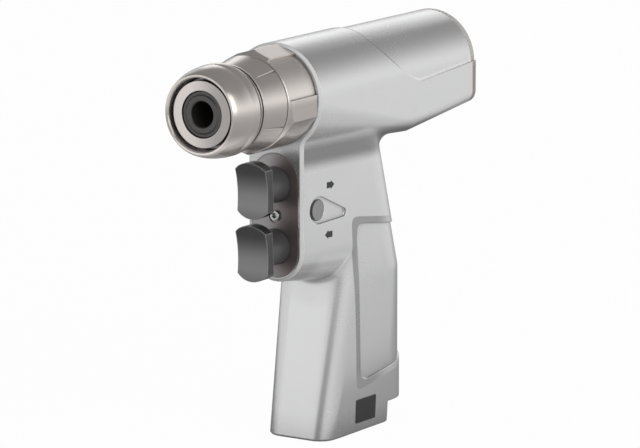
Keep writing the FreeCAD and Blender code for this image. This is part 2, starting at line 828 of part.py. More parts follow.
def make_sensor_board():
    board = ring(tube_r, inner_r, at(board_front), at(board_back))
    return board.common(block(at(board_front), at(board_back), 2 * inner_r, -board_drop, 2 * inner_r))


def make_motor_controller():
    x0, x1 = at(board_back), at(board_back + controller_length)
    return ring(tube_r, inner_r, x0, x1).common(block(x0, x1, 2 * inner_r, -board_drop, 2 * inner_r))


def make_cannula_tube():
    front, back = -bore_depth, at(barrel_length)
    flange = at(barrel_length - tube_flange)
    return turned([
        (front - 1, wire_bore_r), (front - 1, tube_r), (flange, tube_r), (flange, tube_flange_r),
        (back, tube_flange_r), (back, wire_bore_r + 0.8), (flange, wire_bore_r),
    ])


def make_nose_ring():
    # Rim, rounded nose and light band of the locking collar.
    return turned([
        (rim_x - 0.6, mouth_r), (rim_x, mouth_r + 0.4), (rim_x, rim_r), (rim_x - 0.7, rim_r + 0.6),
        (ogive_x, ogive_r, (rim_x + ogive_x) / 2 - 0.5, 16.6), (ogive_x - 0.3, ogive_r + 0.15),
        (band_x, ogive_r + 0.15), (band_x, nose_r + running), (-collar_shoulder, nose_r + running),
        (-collar_shoulder, mouth_r),
    ])


def make_fluted_sleeve():
    step = (band_x - sleeve_x) / (2 * groove_count + 1)
    land = groove_r + groove_deep
    path = [(band_x, nose_r + running)]
    for i in range(groove_count):
        x = band_x - 2 * i * step
        path += [(x, land), (x - step, land), (x - step, groove_r), (x - 2 * step, groove_r)]
    path += [(sleeve_x + step, land), (sleeve_x, land), (sleeve_x, groove_r + 0.1)]
    path += [(grip_x + 0.5, flare_r), (grip_x, flare_r - 0.3), (grip_x, nose_r + running)]
    sleeve = turned(path)
    for i in range(flute_count):
        sleeve = sleeve.cut(flute(flute_start + full_turn * i / flute_count))
    return sleeve


def flute(degrees_round):
    # Slim V-shaped nick along the sleeve that deepens to the rear.
    x0, x1 = sleeve_x - 1.5, grip_x + 0.6
    r0 = between(x0, sleeve_x, groove_r, grip_x, flare_r)
    r1 = between(x1, sleeve_x, groove_r, grip_x, flare_r)
    half = flute_width / 2
    front = Part.makePolygon([V(x0, -0.1, r0), V(x0, 0.1, r0), V(x0, 0, r0 - 0.1), V(x0, -0.1, r0)])
    rear = Part.makePolygon([
        V(x1, -half, r1 + 0.4), V(x1, half, r1 + 0.4), V(x1, 0, r1 - flute_depth), V(x1, -half, r1 + 0.4)])
    nick = Part.makeLoft([front, rear], True, True)
    nick.rotate(V(0, 0, 0), X, -degrees_round)
    return nick


def lobe_wire(x, inner):
    # Raised lobe in section: a step at both ends, a flat, a corner, then low in the middle.
    half, bend = lobe_half, lobe_half - lobe_flat
    places = [(-half, grip_high_r), (-bend, grip_corner_r)]
    places += [(-bend / 2, grip_low_r + 0.5), (0, grip_low_r + 0.1)]
    places += [(-turn, r) for turn, r in reversed(places[:-1])]
    places += [(turn, inner) for turn in (half, 0, -half)]
    points = []
    for turn, r in places:
        angle = radians(lobe_middle + turn)
        points.append(V(x, r * sin(angle), r * cos(angle)))
    return Part.makePolygon(points + points[:1])


def make_grip_ring():
    # Ring with raised lobes whose front edge is bevelled.
    back = at(-air)
    front = grip_x - 0.6
    bevel = 1.0
    band = turned([
        (grip_x, nose_r + running), (grip_x, grip_low_r - 0.3), (grip_x - 0.3, grip_low_r),
        (back, grip_low_r), (back, nose_r + running),
    ])
    limit = turned([
        (front, nose_r + 1), (front, grip_low_r), (front - bevel, grip_low_r + 1.2),
        (front - 2 * bevel, grip_low_r + 2), (back, grip_low_r + 2), (back, nose_r + 1),
    ])
    lobe = Part.Face(lobe_wire(front, nose_r + 1)).extrude(V(back - front, 0, 0)).common(limit)
    for i in range(lobe_count):
        turned_lobe = lobe.copy()
        turned_lobe.rotate(V(0, 0, 0), X, full_turn * i / lobe_count)
        band = band.fuse(turned_lobe)
    return band.removeSplitter()


def make_battery_socket():
    x0, x1 = at(socket_front), at(socket_front + socket_length)
    top = foot_z + socket_depth
    box = block(x0, x1, socket_half, foot_z, top)
    return box.cut(block(x0 - liner, x1 + liner, socket_half - liner, foot_z - 1, top - liner))


def make_contact_block():
    middle = at(socket_front + socket_length / 2)
    top = foot_z + socket_depth - liner
    x0, x1 = middle + contact_length / 2, middle - contact_length / 2
    return block(x0, x1, contact_half, top - contact_height, top)


def make_contact_blades():
    middle = at(socket_front + socket_length / 2)
    top = foot_z + socket_depth - liner - contact_height
    pitch = 2 * contact_half / blade_count
    blades = []
    for i in range(blade_count):
        y = -contact_half + pitch * (i + 0.5)
        corner = V(middle - blade_wide / 2, y - blade_thick / 2, top - blade_length)
        blades.append(Part.makeBox(blade_wide, blade_thick, blade_length, corner))
    return Part.makeCompound(blades)


def make_logic_board():
    top = plate_top
    depth = block_depth
    return block(at(depth), at(depth + board_thick), block_half, foot_z + socket_depth, top)


PARTS = {}


def build():
    PARTS["housing"] = make_housing()
    PARTS["rear_cap"] = make_rear_cap()
    PARTS["rear_cap_screws"] = make_cap_screws()
    PARTS["trigger_plate"] = make_trigger_plate()
    PARTS["trigger_plate_screw"] = make_plate_screw()
    PARTS["trigger_block"] = make_trigger_block()
    PARTS["safety_button"] = make_safety_bolt()
    for name, z in (("upper", upper_z), ("lower", lower_z)):
        PARTS[name + "_trigger_pad"] = make_pad(z)
        PARTS[name + "_trigger_plunger"] = make_plunger(z)
        PARTS[name + "_trigger_spring"] = make_trigger_spring(z)
    PARTS["nose_body"] = make_nose_body()
    PARTS["hub_seal"] = make_hub_seal()
    PARTS["collar_snap_ring"] = make_snap_ring()
    PARTS["drive_spindle"] = make_drive_spindle()
    inner, outer = pair_of_bearings(
        -hub_length - air, at(-spindle_bearing_width - 2), spindle_bearing_width, journal_r, nose_inner_r)
    PARTS["spindle_bearing_inner_races"], PARTS["spindle_bearing_outer_races"] = inner, outer
    PARTS["planet_carrier"] = make_planet_carrier()
    for i in range(planet_count):
        PARTS["planet_gear_" + str(i + 1)] = make_planet(i)
    PARTS["ring_gear"] = make_ring_gear()
    PARTS["sun_pinion"] = make_sun_pinion()
    PARTS["motor_front_bell"] = make_front_bell()
    PARTS["motor_rear_bell"] = make_rear_bell()
    inner, outer = pair_of_bearings(
        at(stator_front - motor_bearing_width), at(stator_back), motor_bearing_width, shaft_r, motor_bearing_r)
    PARTS["motor_bearing_inner_races"], PARTS["motor_bearing_outer_races"] = inner, outer
    PARTS["stator_core"] = make_stator_core()
    PARTS["stator_windings"] = make_stator_windings()
    PARTS["rotor_shaft"] = make_rotor_shaft()
    PARTS["rotor_magnet"] = make_rotor_magnet()
    PARTS["sensor_magnet"] = make_sensor_magnet()
    PARTS["sensor_board"] = make_sensor_board()
    PARTS["motor_controller"] = make_motor_controller()
    PARTS["cannula_tube"] = make_cannula_tube()
    PARTS["collar_nose_ring"] = make_nose_ring()
    PARTS["collar_fluted_sleeve"] = make_fluted_sleeve()
    PARTS["collar_grip_ring"] = make_grip_ring()
    PARTS["battery_socket"] = make_battery_socket()
    PARTS["contact_block"] = make_contact_block()
    PARTS["contact_blades"] = make_contact_blades()
    PARTS["logic_board"] = make_logic_board()


def main():
    os.makedirs("parts", exist_ok=True)
    build()
    for name, shape in PARTS.items():
        shape.exportStep("parts/" + name + ".step")
        print(name, len(shape.Solids), shape.isValid(), round(shape.Volume, 1))


main()
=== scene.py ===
import json
import math
import bmesh
import bpy
from mathutils import Matrix, Vector, bvhtree


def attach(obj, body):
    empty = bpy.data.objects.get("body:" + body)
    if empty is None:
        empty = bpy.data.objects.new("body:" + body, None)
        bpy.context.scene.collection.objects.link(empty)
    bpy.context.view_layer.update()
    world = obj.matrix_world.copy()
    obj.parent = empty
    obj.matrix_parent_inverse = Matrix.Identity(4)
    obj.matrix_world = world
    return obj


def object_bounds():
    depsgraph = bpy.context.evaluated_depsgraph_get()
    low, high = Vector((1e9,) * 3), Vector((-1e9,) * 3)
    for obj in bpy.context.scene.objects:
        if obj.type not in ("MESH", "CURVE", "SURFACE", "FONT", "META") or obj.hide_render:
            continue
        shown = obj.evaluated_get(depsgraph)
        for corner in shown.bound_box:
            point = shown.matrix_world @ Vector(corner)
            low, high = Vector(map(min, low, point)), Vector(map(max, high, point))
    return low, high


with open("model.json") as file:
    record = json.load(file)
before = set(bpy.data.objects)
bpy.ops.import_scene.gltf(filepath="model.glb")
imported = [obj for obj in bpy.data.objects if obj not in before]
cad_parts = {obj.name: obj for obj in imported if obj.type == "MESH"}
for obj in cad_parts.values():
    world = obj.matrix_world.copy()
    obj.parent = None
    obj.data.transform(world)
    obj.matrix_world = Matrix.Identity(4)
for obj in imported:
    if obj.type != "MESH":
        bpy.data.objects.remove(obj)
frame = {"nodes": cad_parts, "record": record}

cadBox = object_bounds()
cadNodes = frame["nodes"]
print("frame loaded:", len(cadNodes), "nodes")


class Value:
    # A socket that takes part in Python expressions.
    def __init__(self, nodes, socket):
        self.nodes = nodes
        self.socket = socket

    def maths(self, operation, *terms):
        return self.nodes.node("ShaderNodeMath", {"operation": operation}, dict(enumerate(terms)))

    def __add__(self, other):
        return self.maths("ADD", self, other)

    __radd__ = __add__

    def __mul__(self, other):
        return self.maths("MULTIPLY", self, other)

    __rmul__ = __mul__

    def __sub__(self, other):
        return self.maths("SUBTRACT", self, other)

    def __rsub__(self, other):
        return self.maths("SUBTRACT", other, self)

    def __truediv__(self, other):
        return self.maths("DIVIDE", self, other)

    def __pow__(self, other):
        return self.maths("POWER", self, other)

    def below(self, limit):
        return self.maths("LESS_THAN", self, limit)

    def most(self, other):
        return self.maths("MAXIMUM", self, other)

    def roundedMost(self, other, reach):
        return self.maths("SMOOTH_MAX", self, other, reach)

    def ramp(self, start, end):
        # 0 at start and 1 at end, eased at both; either may be the higher one.
        return self.nodes.node("ShaderNodeMapRange", {"interpolation_type": "SMOOTHSTEP"}, {
            "Value": self, "From Min": start, "From Max": end})

    def window(self, start, full, fade, end):
        # 1 from full to fade, eased to 0 at start and at end.
        return self.ramp(start, full) * self.ramp(end, fade)


class Nodes:
    # A node tree and the ways in which this file adds to it.
    def __init__(self, tree):
        self.tree = tree

    def node(self, kind, settings=None, links=None, output=0):
        made = self.tree.nodes.new(kind)
        for key, setting in (settings or {}).items():
            setattr(made, key, setting)
        self.wire(made, links or {})
        return Value(self, made.outputs[output])

    def wire(self, made, links):
        # Links each value to its input, and sets plain numbers and colours.
        for key, item in links.items():
            if isinstance(item, Value):
                self.tree.links.new(item.socket, made.inputs[key])
            else:
                made.inputs[key].default_value = item

    def axes(self, vector):
        split = self.node("ShaderNodeSeparateXYZ", None, {0: vector}).socket.node
        return [Value(self, socket) for socket in split.outputs]

    def rays(self, *kinds):
        # 1 for rays of any of the given kinds, otherwise 0.
        path = self.node("ShaderNodeLightPath").socket.node
        found = Value(self, path.outputs[kinds[0]])
        for kind in kinds[1:]:
            found = found.most(Value(self, path.outputs[kind]))
        return found


class Finish(Nodes):
    # One material, with the few groups of nodes that the finishes share.
    def __init__(self, name):
        self.material = bpy.data.materials.new(name)
        self.material.use_nodes = True
        super().__init__(self.material.node_tree)
        self.shader = self.tree.nodes["Principled BSDF"]

    def place(self):
        return self.node("ShaderNodeTexCoord", output="Object")

    def facing(self):
        return self.axes(self.node("ShaderNodeNewGeometry", output="Normal"))

    def noise(self, vector, scale, detail=2.0):
        return self.node("ShaderNodeTexNoise", None, {"Vector": vector, "Scale": scale, "Detail": detail})

    def blend(self, factor, first, second):
        return self.node("ShaderNodeMix", {"data_type": "RGBA"}, {0: factor, 6: first, 7: second}, 2)

    def mottled(self, pattern, tone, spread):
        low, high = spread
        return self.blend(pattern, shade(tone, low), shade(tone, high))

    def faded(self, base, look):
        # Goes over to further tones between two places on an axis.
        for axis, start, end, tone in look.get("fades", []):
            along = self.axes(self.place())["xyz".index(axis)]
            base = self.blend(along.ramp(start, end), base, colour(tone))
        return base

    def softened(self, radius, samples=6):
        # The rounded normal near edges, and how near an edge is: 0 on a flat, towards 1 on the edge.
        soft = self.node("ShaderNodeBevel", {"samples": samples}, {"Radius": radius})
        sharp = self.node("ShaderNodeNewGeometry", output="Normal")
        even = self.node("ShaderNodeVectorMath", {"operation": "DOT_PRODUCT"}, {0: soft, 1: sharp}, "Value")
        return soft, 1.0 - even

    def closed(self, distance, samples=6):
        # 0 in the open, towards 1 in corners and gaps.
        seen = self.node("ShaderNodeAmbientOcclusion", {"samples": samples}, {"Distance": distance}, "AO")
        return 1.0 - seen

    def bump(self, height, strength, depth, soft=None):
        links = {"Strength": strength, "Distance": depth, "Height": height}
        if soft:
            links["Normal"] = soft
        return self.node("ShaderNodeBump", None, links)

    def feed(self, links):
        self.wire(self.shader, links)
        return self.material


def colour(tone):
    return (*tone, 1.0)


def shade(tone, factor):
    return colour([part * factor for part in tone])


def uneven(level, *swings):
    # A level that swings about its middle with each pattern, by the amount beside it.
    total = level - sum(amount for pattern, amount in swings) / 2
    for pattern, amount in swings:
        total = pattern * amount + total
    return total


satinAlloy = {
    "tone": (0.66, 0.66, 0.665), "metal": 0.8, "rough": 0.34,
    "cloud": 22.0, "cloudTone": (0.98, 1.02), "cloudGloss": 0.06,
    "grain": 2600.0, "grainGloss": 0.04, "grainBump": 0.03, "grainDepth": 0.0001,
    "edge": 0.0005, "edgeReach": 2.2, "edgeGain": 1.3,
}


def makeSatinAlloy(name, look):
    # Blasted and lacquered light alloy: faint clouds, fine grain, and a painted highlight along the edges.
    finish = Finish(name)
    place = finish.place()
    cloud = finish.noise(place, look["cloud"], detail=3.0)
    grain = finish.noise(place, look["grain"], detail=1.0)
    soft, edge = finish.softened(look["edge"])
    base = finish.faded(finish.mottled(cloud, look["tone"], look["cloudTone"]), look)
    return finish.feed({
        "Base Color": finish.blend(edge * look["edgeReach"], base, shade(look["tone"], look["edgeGain"])),
        "Metallic": look["metal"],
        "Roughness": uneven(look["rough"], (cloud, look["cloudGloss"]), (grain, look["grainGloss"])),
        "Normal": finish.bump(grain, look["grainBump"], look["grainDepth"], soft),
    })


# Places are in metres. Four are where a mask starts, is full, fades and ends; two are its start and full.
housingFront = max(corner[0] for corner in cadNodes["housing"].bound_box)
housingLook = {
    **satinAlloy, "rough": 0.26, "grainBump": 0.012, "edge": 0.0006, "edgeGain": 1.4,
    "softRadius": 0.0034, "softSamples": 12,                                 # edges inside the two blends
    "underX": (-0.088, -0.080, -0.062, -0.055), "underZ": (-0.082, -0.077, -0.060, -0.054),
    "underTurn": (-0.1, -0.55), "underLight": 1.3,                           # blend below the triggers, with painted light on its underside
    "seamX": (-0.052, -0.056), "seamZ": (-0.036, -0.029, -0.018, -0.012),    # blend below the barrel
    "foldX": (-0.0485, -0.0495), "foldY": (0.004, 0.009),
    "foldZ": (-0.0284, -0.0230, -0.020, -0.015), "foldShade": 0.38,          # painted shade in its fold
    "cornerReach": 0.012, "cornerSamples": 20, "cornerShade": 0.48, "cornerEdge": 4.0,
    "cornerTop": (-0.006, -0.012), "cornerUnder": 0.5, "cornerFold": 0.7,    # painted shade in inside corners
    "footY": (0.004, 0.011), "footZ": (-0.060, -0.078), "footShade": 0.97,   # painted shade on the lower left side
    "panelCorners": ((-0.138, -0.0590), (-0.0787, -0.0510), (-0.0833, -0.1135), (-0.138, -0.1040)),
    "panelRound": 0.006, "panelSlope": 0.0024, "panelBlur": 0.0004,          # painted shade and highlight of the panel's sloped border
    "panelFront": (-0.106, -0.090), "panelShade": 0.55,
    "panelFoot": (-0.114, -0.106), "panelFootShare": 0.5,                    # the painted shade is fainter there
    "panelLow": (-0.095, -0.105), "panelLight": 1.22,
    "rimFrom": 0.0011, "rimFull": 0.0009, "rimTurn": (0.95, 0.80),           # painted highlight round the front
    "topStart": (-0.0948, 0.0165), "topPower": 1.5, "topCurl": 8.4, "topEnd": (0.003, 0.007),
    "topWide": (-0.0001, 0.0001, 0.0004, 0.0007), "topShade": 0.35,          # painted shade line along the set-in top's border
    "lowStart": (-0.122, -0.0022), "lowRise": 0.0738, "lowBend": 28.0, "lowEnd": (-0.104, -0.116),
    "lowWide": (-0.0002, 0.0, 0.0009, 0.0011), "lowStrength": 0.8,           # its painted highlight line lower down
    # colour of the painted highlights
    "white": (0.97, 0.97, 0.975),
}


def outsidePanel(x, z, look):
    # How far a place lies outside the panel's rounded outline, seen from the side; negative inside it.
    outside = None
    corners = look["panelCorners"]
    for (x0, z0), (x1, z1) in zip(corners, corners[1:]):
        length = math.hypot(x1 - x0, z1 - z0)
        outX, outZ = (z0 - z1) / length, (x1 - x0) / length
        gap = x * outX + z * outZ - (x0 * outX + z0 * outZ)
        outside = outside.roundedMost(gap, look["panelRound"]) if outside else gap
    return outside


def topLine(x, z, look):
    # Mask of a painted shade line: starts near the top's middle and curls rearward as it falls.
    startX, startZ = look["topStart"]
    across = x - startX + (startZ - z).most(0.0) ** look["topPower"] * look["topCurl"]
    return across.window(*look["topWide"]) * z.ramp(*look["topEnd"])


def lowLine(x, z, look):
    # Mask of a painted highlight line: rises slowly to the rear and steeply to the front.
    startX, startZ = look["lowStart"]
    bend = (x - startX).most(0.0)
    height = z - startZ - (startX - x).most(0.0) * look["lowRise"] - bend * bend * look["lowBend"]
    return height.window(*look["lowWide"]) * x.ramp(*look["lowEnd"])


def makeHousingAlloy(name, look):
    # The satin alloy, with painted shade and light: on the panel's and the top's borders, in inside corners,
    # the fold and the lower left side, under the triggers and round the front.
    finish = Finish(name)
    place = finish.place()
    x, y, z = finish.axes(place)
    outX, outY, outZ = finish.facing()
    cloud = finish.noise(place, look["cloud"], detail=3.0)
    grain = finish.noise(place, look["grain"], detail=1.0)

    under = z.window(*look["underZ"]) * x.window(*look["underX"])
    seam = z.window(*look["seamZ"]) * x.ramp(*look["seamX"])
    fold = z.window(*look["foldZ"]) * y.ramp(*look["foldY"])
    radius = under.most(seam) * (look["softRadius"] - look["edge"]) + look["edge"]
    soft, edge = finish.softened(radius, look["softSamples"])

    # painted shade and highlight of the panel's sloped border
    slope, blur = look["panelSlope"], look["panelBlur"]
    border = outsidePanel(x, z, look).window(-blur, 0.0, slope, slope + blur)
    toFront = x.ramp(*look["panelFront"])
    share = look["panelFootShare"]
    frontBorder = border * toFront * (z.ramp(*look["panelFoot"]) * (1.0 - share) + share)
    lowBorder = border * (1.0 - toFront) * z.ramp(*look["panelLow"])

    # painted shade where inside corners close in
    corner = finish.closed(look["cornerReach"], look["cornerSamples"])
    corner = corner * (1.0 - edge * look["cornerEdge"]).most(0.0) * z.ramp(*look["cornerTop"])
    corner = corner * (1.0 - under * look["cornerUnder"]) * (1.0 - fold * look["cornerFold"])

    base = finish.mottled(cloud, look["tone"], look["cloudTone"])
    # painted shade and light in layers, each a mask and a factor on the tone
    for mask, part in (
        (z.ramp(*look["footZ"]) * y.ramp(*look["footY"]), "footShade"),
        (frontBorder, "panelShade"),
        (lowBorder, "panelLight"),
        (fold * x.ramp(*look["foldX"]), "foldShade"),
        (under * outZ.ramp(*look["underTurn"]), "underLight"),
        (edge * look["edgeReach"], "edgeGain"),
        (corner, "cornerShade"),
        (topLine(x, z, look), "topShade"),
    ):
        base = finish.blend(mask, base, shade(look["tone"], look[part]))

    # painted highlights, white and less metal, round the front and along the lower line
    rim = x.ramp(housingFront - look["rimFrom"], housingFront - look["rimFull"]) * outX.ramp(*look["rimTurn"])
    lit = rim.most(lowLine(x, z, look) * look["lowStrength"])
    return finish.feed({
        "Base Color": finish.blend(lit, base, colour(look["white"])),
        "Metallic": (1.0 - lit) * look["metal"],
        "Roughness": uneven(look["rough"], (cloud, look["cloudGloss"]), (grain, look["grainGloss"])),
        "Normal": finish.bump(grain, look["grainBump"], look["grainDepth"], soft),
    })


turnedSteel = {
    "tone": (0.70, 0.65, 0.615), "metal": 0.78, "rough": 0.24,
    "rings": 2400.0, "ringTone": (0.98, 1.02), "ringGloss": 0.04, "ringBump": 0.004, "ringDepth": 0.00005,
    "cloud": 60.0, "cloudGloss": 0.04,
    "edge": 0.0004, "edgeReach": 2.5, "edgeGain": 1.4,
    "gap": 0.0016, "gapShades": (0.15, 0.75), "gapShade": 0.25, "grooveBlur": 0.00004,
}


def makeTurnedSteel(name, look):
    # Lathe-turned steel: very fine rings about the drive axis, a painted highlight along edges, and painted
    # shade in gaps and grooves.
    finish = Finish(name)
    place = finish.place()
    x, y, z = finish.axes(place)
    profile = finish.node("ShaderNodeCombineXYZ", None, {0: x, 1: (y * y + z * z) ** 0.5})
    rings = finish.noise(profile, look["rings"])
    cloud = finish.noise(place, look["cloud"])
    soft, edge = finish.softened(look["edge"])
    dark = shade(look["tone"], look["gapShade"])
    base = finish.faded(finish.mottled(rings, look["tone"], look["ringTone"]), look)
    base = finish.blend(edge * look["edgeReach"], base, shade(look["tone"], look["edgeGain"]))
    for rear, front in look.get("grooves", []):
        groove = x.window(rear - look["grooveBlur"], rear, front, front + look["grooveBlur"])
        base = finish.blend(groove, base, dark)
    return finish.feed({
        "Base Color": finish.blend(finish.closed(look["gap"]).ramp(*look["gapShades"]), base, dark),
        "Metallic": look["metal"],
        "Roughness": uneven(look["rough"], (rings, look["ringGloss"]), (cloud, look["cloudGloss"])),
        "Normal": finish.bump(rings, look["ringBump"], look["ringDepth"], soft),
    })


moulded = {
    "tone": (0.06, 0.06, 0.065), "rough": 0.5,
    "cloud": 40.0, "cloudTone": (0.9, 1.12), "cloudGloss": 0.06,
    "grain": 2200.0, "grainGloss": 0.08, "grainBump": 0.1, "grainDepth": 0.0001,
    "edge": 0.0004, "edgeReach": 2.0, "edgeGain": 2.2,
}


def makeMoulded(name, look):
    # Moulded plastic or rubber: fine texture, slight unevenness of gloss, and a painted highlight along
    # edges.
    finish = Finish(name)
    place = finish.place()
    grain = finish.noise(place, look["grain"])
    cloud = finish.noise(place, look["cloud"])
    soft, edge = finish.softened(look["edge"])
    base = finish.faded(finish.mottled(cloud, look["tone"], look["cloudTone"]), look)
    if "sides" in look:    # painted shade: a darker tone on what doesn't face forward
        outX, outY, outZ = finish.facing()
        base = finish.blend(outX.ramp(*look["sideTurn"]), base, colour(look["sides"]))
    return finish.feed({
        "Base Color": finish.blend(edge * look["edgeReach"], base, shade(look["tone"], look["edgeGain"])),
        "Metallic": 0.0,
        "Roughness": uneven(look["rough"], (grain, look["grainGloss"]), (cloud, look["cloudGloss"])),
        "Normal": finish.bump(grain, look["grainBump"], look["grainDepth"], soft),
    })


windingCopper = {
    "tone": (0.72, 0.34, 0.16), "strands": 900.0, "strandTone": (0.5, 1.1), "metal": 0.9,
    "rough": 0.33, "strandGloss": 0.1, "strandBump": 0.5, "strandDepth": 0.0002,
}


def makeCopper(name, look):
    # Enamelled wire laid side by side round the axis.
    finish = Finish(name)
    x, y, z = finish.axes(finish.place())
    outwards = finish.node("ShaderNodeCombineXYZ", None, {0: (y * y + z * z) ** 0.5})
    strands = finish.node("ShaderNodeTexWave", {"wave_profile": "SIN"}, {
        "Vector": outwards, "Scale": look["strands"]})
    return finish.feed({
        "Base Color": finish.mottled(strands, look["tone"], look["strandTone"]),
        "Metallic": look["metal"],
        "Roughness": uneven(look["rough"], (strands, look["strandGloss"])),
        "Normal": finish.bump(strands, look["strandBump"], look["strandDepth"]),
    })


boardGreen = {
    "tone": (0.02, 0.16, 0.06), "tracks": 420.0, "trackWide": 0.06, "trackTone": (1.0, 1.9),
    "rough": 0.35, "trackGloss": 0.1, "trackBump": 0.2, "trackDepth": 0.0001,
}


def makeBoard(name, look):
    # Lacquered circuit board with faint tracks.
    finish = Finish(name)
    cells = finish.node("ShaderNodeTexVoronoi", {"feature": "DISTANCE_TO_EDGE"}, {
        "Vector": finish.place(), "Scale": look["tracks"]})
    tracks = cells.below(look["trackWide"])
    return finish.feed({
        "Base Color": finish.mottled(tracks, look["tone"], look["trackTone"]),
        "Metallic": 0.0,
        "Roughness": uneven(look["rough"], (tracks, look["trackGloss"])),
        "Normal": finish.bump(tracks, look["trackBump"], look["trackDepth"]),
    })


# Each slot's maker, its look, and what it changes there. A fade is an axis, two places on it and a tone.
steel = {**turnedSteel, "metal": 0.9}
finishes = {
    "housing_alloy": (makeHousingAlloy, housingLook, {}),
    "button_alloy": (makeSatinAlloy, satinAlloy, {"tone": (0.30, 0.30, 0.305), "rough": 0.4}),
    "cap_plastic": (makeMoulded, moulded, {
        "tone": (0.62, 0.59, 0.56), "rough": 0.45, "edgeGain": 1.3,
        "fades": [("z", 0.003, -0.002, (0.36, 0.31, 0.295))]}),
    "plate_steel": (makeSatinAlloy, satinAlloy, {
        "tone": (0.38, 0.37, 0.37), "rough": 0.4, "edge": 0.0003,
        "fades": [("y", -0.006, 0.008, (0.25, 0.205, 0.20))]}),
    "trigger_black": (makeMoulded, moulded, {
        "tone": (0.07, 0.07, 0.073), "rough": 0.36, "edge": 0.0006, "edgeGain": 2.6}),
    "block_grey": (makeMoulded, moulded, {}),
    "collar_steel": (makeTurnedSteel, turnedSteel, {
        "grooves": [(-0.01597, -0.01496), (-0.01440, -0.01304)],      # rear and front of their painted shade
        # painted shade through the middle, painted light lower down
        "fades": [("z", 0.004, -0.001, (0.42, 0.39, 0.37)), ("z", -0.006, -0.012, (0.92, 0.86, 0.815))]}),
    "nose_steel": (makeTurnedSteel, steel, {
        # painted shade, darker towards +y
        "tone": (0.72, 0.67, 0.64), "rough": 0.3, "fades": [("y", -0.006, 0.008, (0.40, 0.38, 0.365))]}),
    "hub_steel": (makeTurnedSteel, steel, {"tone": (0.10, 0.095, 0.092), "rough": 0.36, "metal": 0.7}),
    "screw_steel": (makeTurnedSteel, steel, {"tone": (0.60, 0.60, 0.61), "rough": 0.2}),
    "bearing_steel": (makeTurnedSteel, steel, {"tone": (0.62, 0.62, 0.64), "rough": 0.18}),
    "gear_steel": (makeTurnedSteel, steel, {"tone": (0.46, 0.46, 0.48), "rough": 0.3}),
    "spring_steel": (makeTurnedSteel, steel, {"tone": (0.50, 0.50, 0.52), "rough": 0.25}),
    "seal_rubber": (makeMoulded, moulded, {"tone": (0.02, 0.02, 0.02), "rough": 0.7}),
    "bell_alloy": (makeSatinAlloy, satinAlloy, {"tone": (0.58, 0.59, 0.60)}),
    "lamination_steel": (makeTurnedSteel, steel, {"tone": (0.22, 0.22, 0.24), "rough": 0.4}),
    "winding_copper": (makeCopper, windingCopper, {}),
    "magnet_metal": (makeSatinAlloy, satinAlloy, {"tone": (0.20, 0.20, 0.22), "rough": 0.4}),
    "board_green": (makeBoard, boardGreen, {}),
    "potting_black": (makeMoulded, moulded, {"tone": (0.03, 0.03, 0.033), "rough": 0.6}),
    "socket_plastic": (makeMoulded, moulded, {"tone": (0.05, 0.05, 0.055)}),
    "contact_brass": (makeTurnedSteel, steel, {"tone": (0.80, 0.58, 0.26), "rough": 0.25}),
}
materials = {name: make(name, {**look, **changes}) for name, (make, look, changes) in finishes.items()}

smoothSetup = {"angle": 28, "merge": 0.000004}


def smoothing(limit, gap):
    # Joins the loose triangles and shades them smooth up to an angle.
    group = bpy.data.node_groups.new("smoothUpTo" + str(limit), "GeometryNodeTree")
    group.interface.new_socket("Geometry", in_out="INPUT", socket_type="NodeSocketGeometry")
    group.interface.new_socket("Geometry", in_out="OUTPUT", socket_type="NodeSocketGeometry")
    start = group.nodes.new("NodeGroupInput")
    end = group.nodes.new("NodeGroupOutput")
    merge = group.nodes.new("GeometryNodeMergeByDistance")
    merge.inputs["Distance"].default_value = gap
    smooth = group.nodes.new("GeometryNodeSetShadeSmooth")
    sharp = group.nodes.new("GeometryNodeSetShadeSmooth")
    sharp.domain = "EDGE"
    sharp.inputs["Shade Smooth"].default_value = False
    angle = group.nodes.new("GeometryNodeInputMeshEdgeAngle")
    over = group.nodes.new("FunctionNodeCompare")
    over.inputs[1].default_value = math.radians(limit)
    group.links.new(start.outputs[0], merge.inputs["Geometry"])
    group.links.new(merge.outputs[0], smooth.inputs["Geometry"])
    group.links.new(smooth.outputs[0], sharp.inputs["Geometry"])
    group.links.new(angle.outputs["Unsigned Angle"], over.inputs[0])
    group.links.new(over.outputs[0], sharp.inputs["Selection"])
    group.links.new(sharp.outputs[0], end.inputs[0])
    return group


smoothGroup = smoothing(smoothSetup["angle"], smoothSetup["merge"])
for part in frame["record"]["subparts"]:
    node = cadNodes[part["node"]]
    node.material_slots[0].material = materials[part["material_slot"]]
    node.modifiers.new("smooth", "NODES").node_group = smoothGroup

padNames = ("upper_trigger_pad", "lower_trigger_pad")
padLook = {
    **moulded, "tone": (0.07, 0.07, 0.073), "rough": 0.34,
    "edge": 0.0006, "edgeReach": 7.0, "edgeGain": 6.5, "sides": (0.03, 0.03, 0.032), "sideTurn": (0.8, 0.6),
    "reflectionBands": ((0.85, 0.35, (0.36, 0.36, 0.365)), (0.25, 0.0, (0.24, 0.24, 0.245))),    # painted reflection, in its heights
}


def makePadRubber(name, look):
    # Painted reflection: nearly black at the pad's top, grey below its middle.
    heights = [corner[2] for corner in cadNodes[name].bound_box]
    low, height = min(heights), max(heights) - min(heights)
    fades = [("z", low + height * start, low + height * end, tone) for start, end, tone in look["reflectionBands"]]
    return makeMoulded(name + "_rubber", {**look, "fades": fades})


for name in padNames:
    cadNodes[name].material_slots[0].material = makePadRubber(name, padLook)
print("finishes given:", len(materials) + len(padNames))

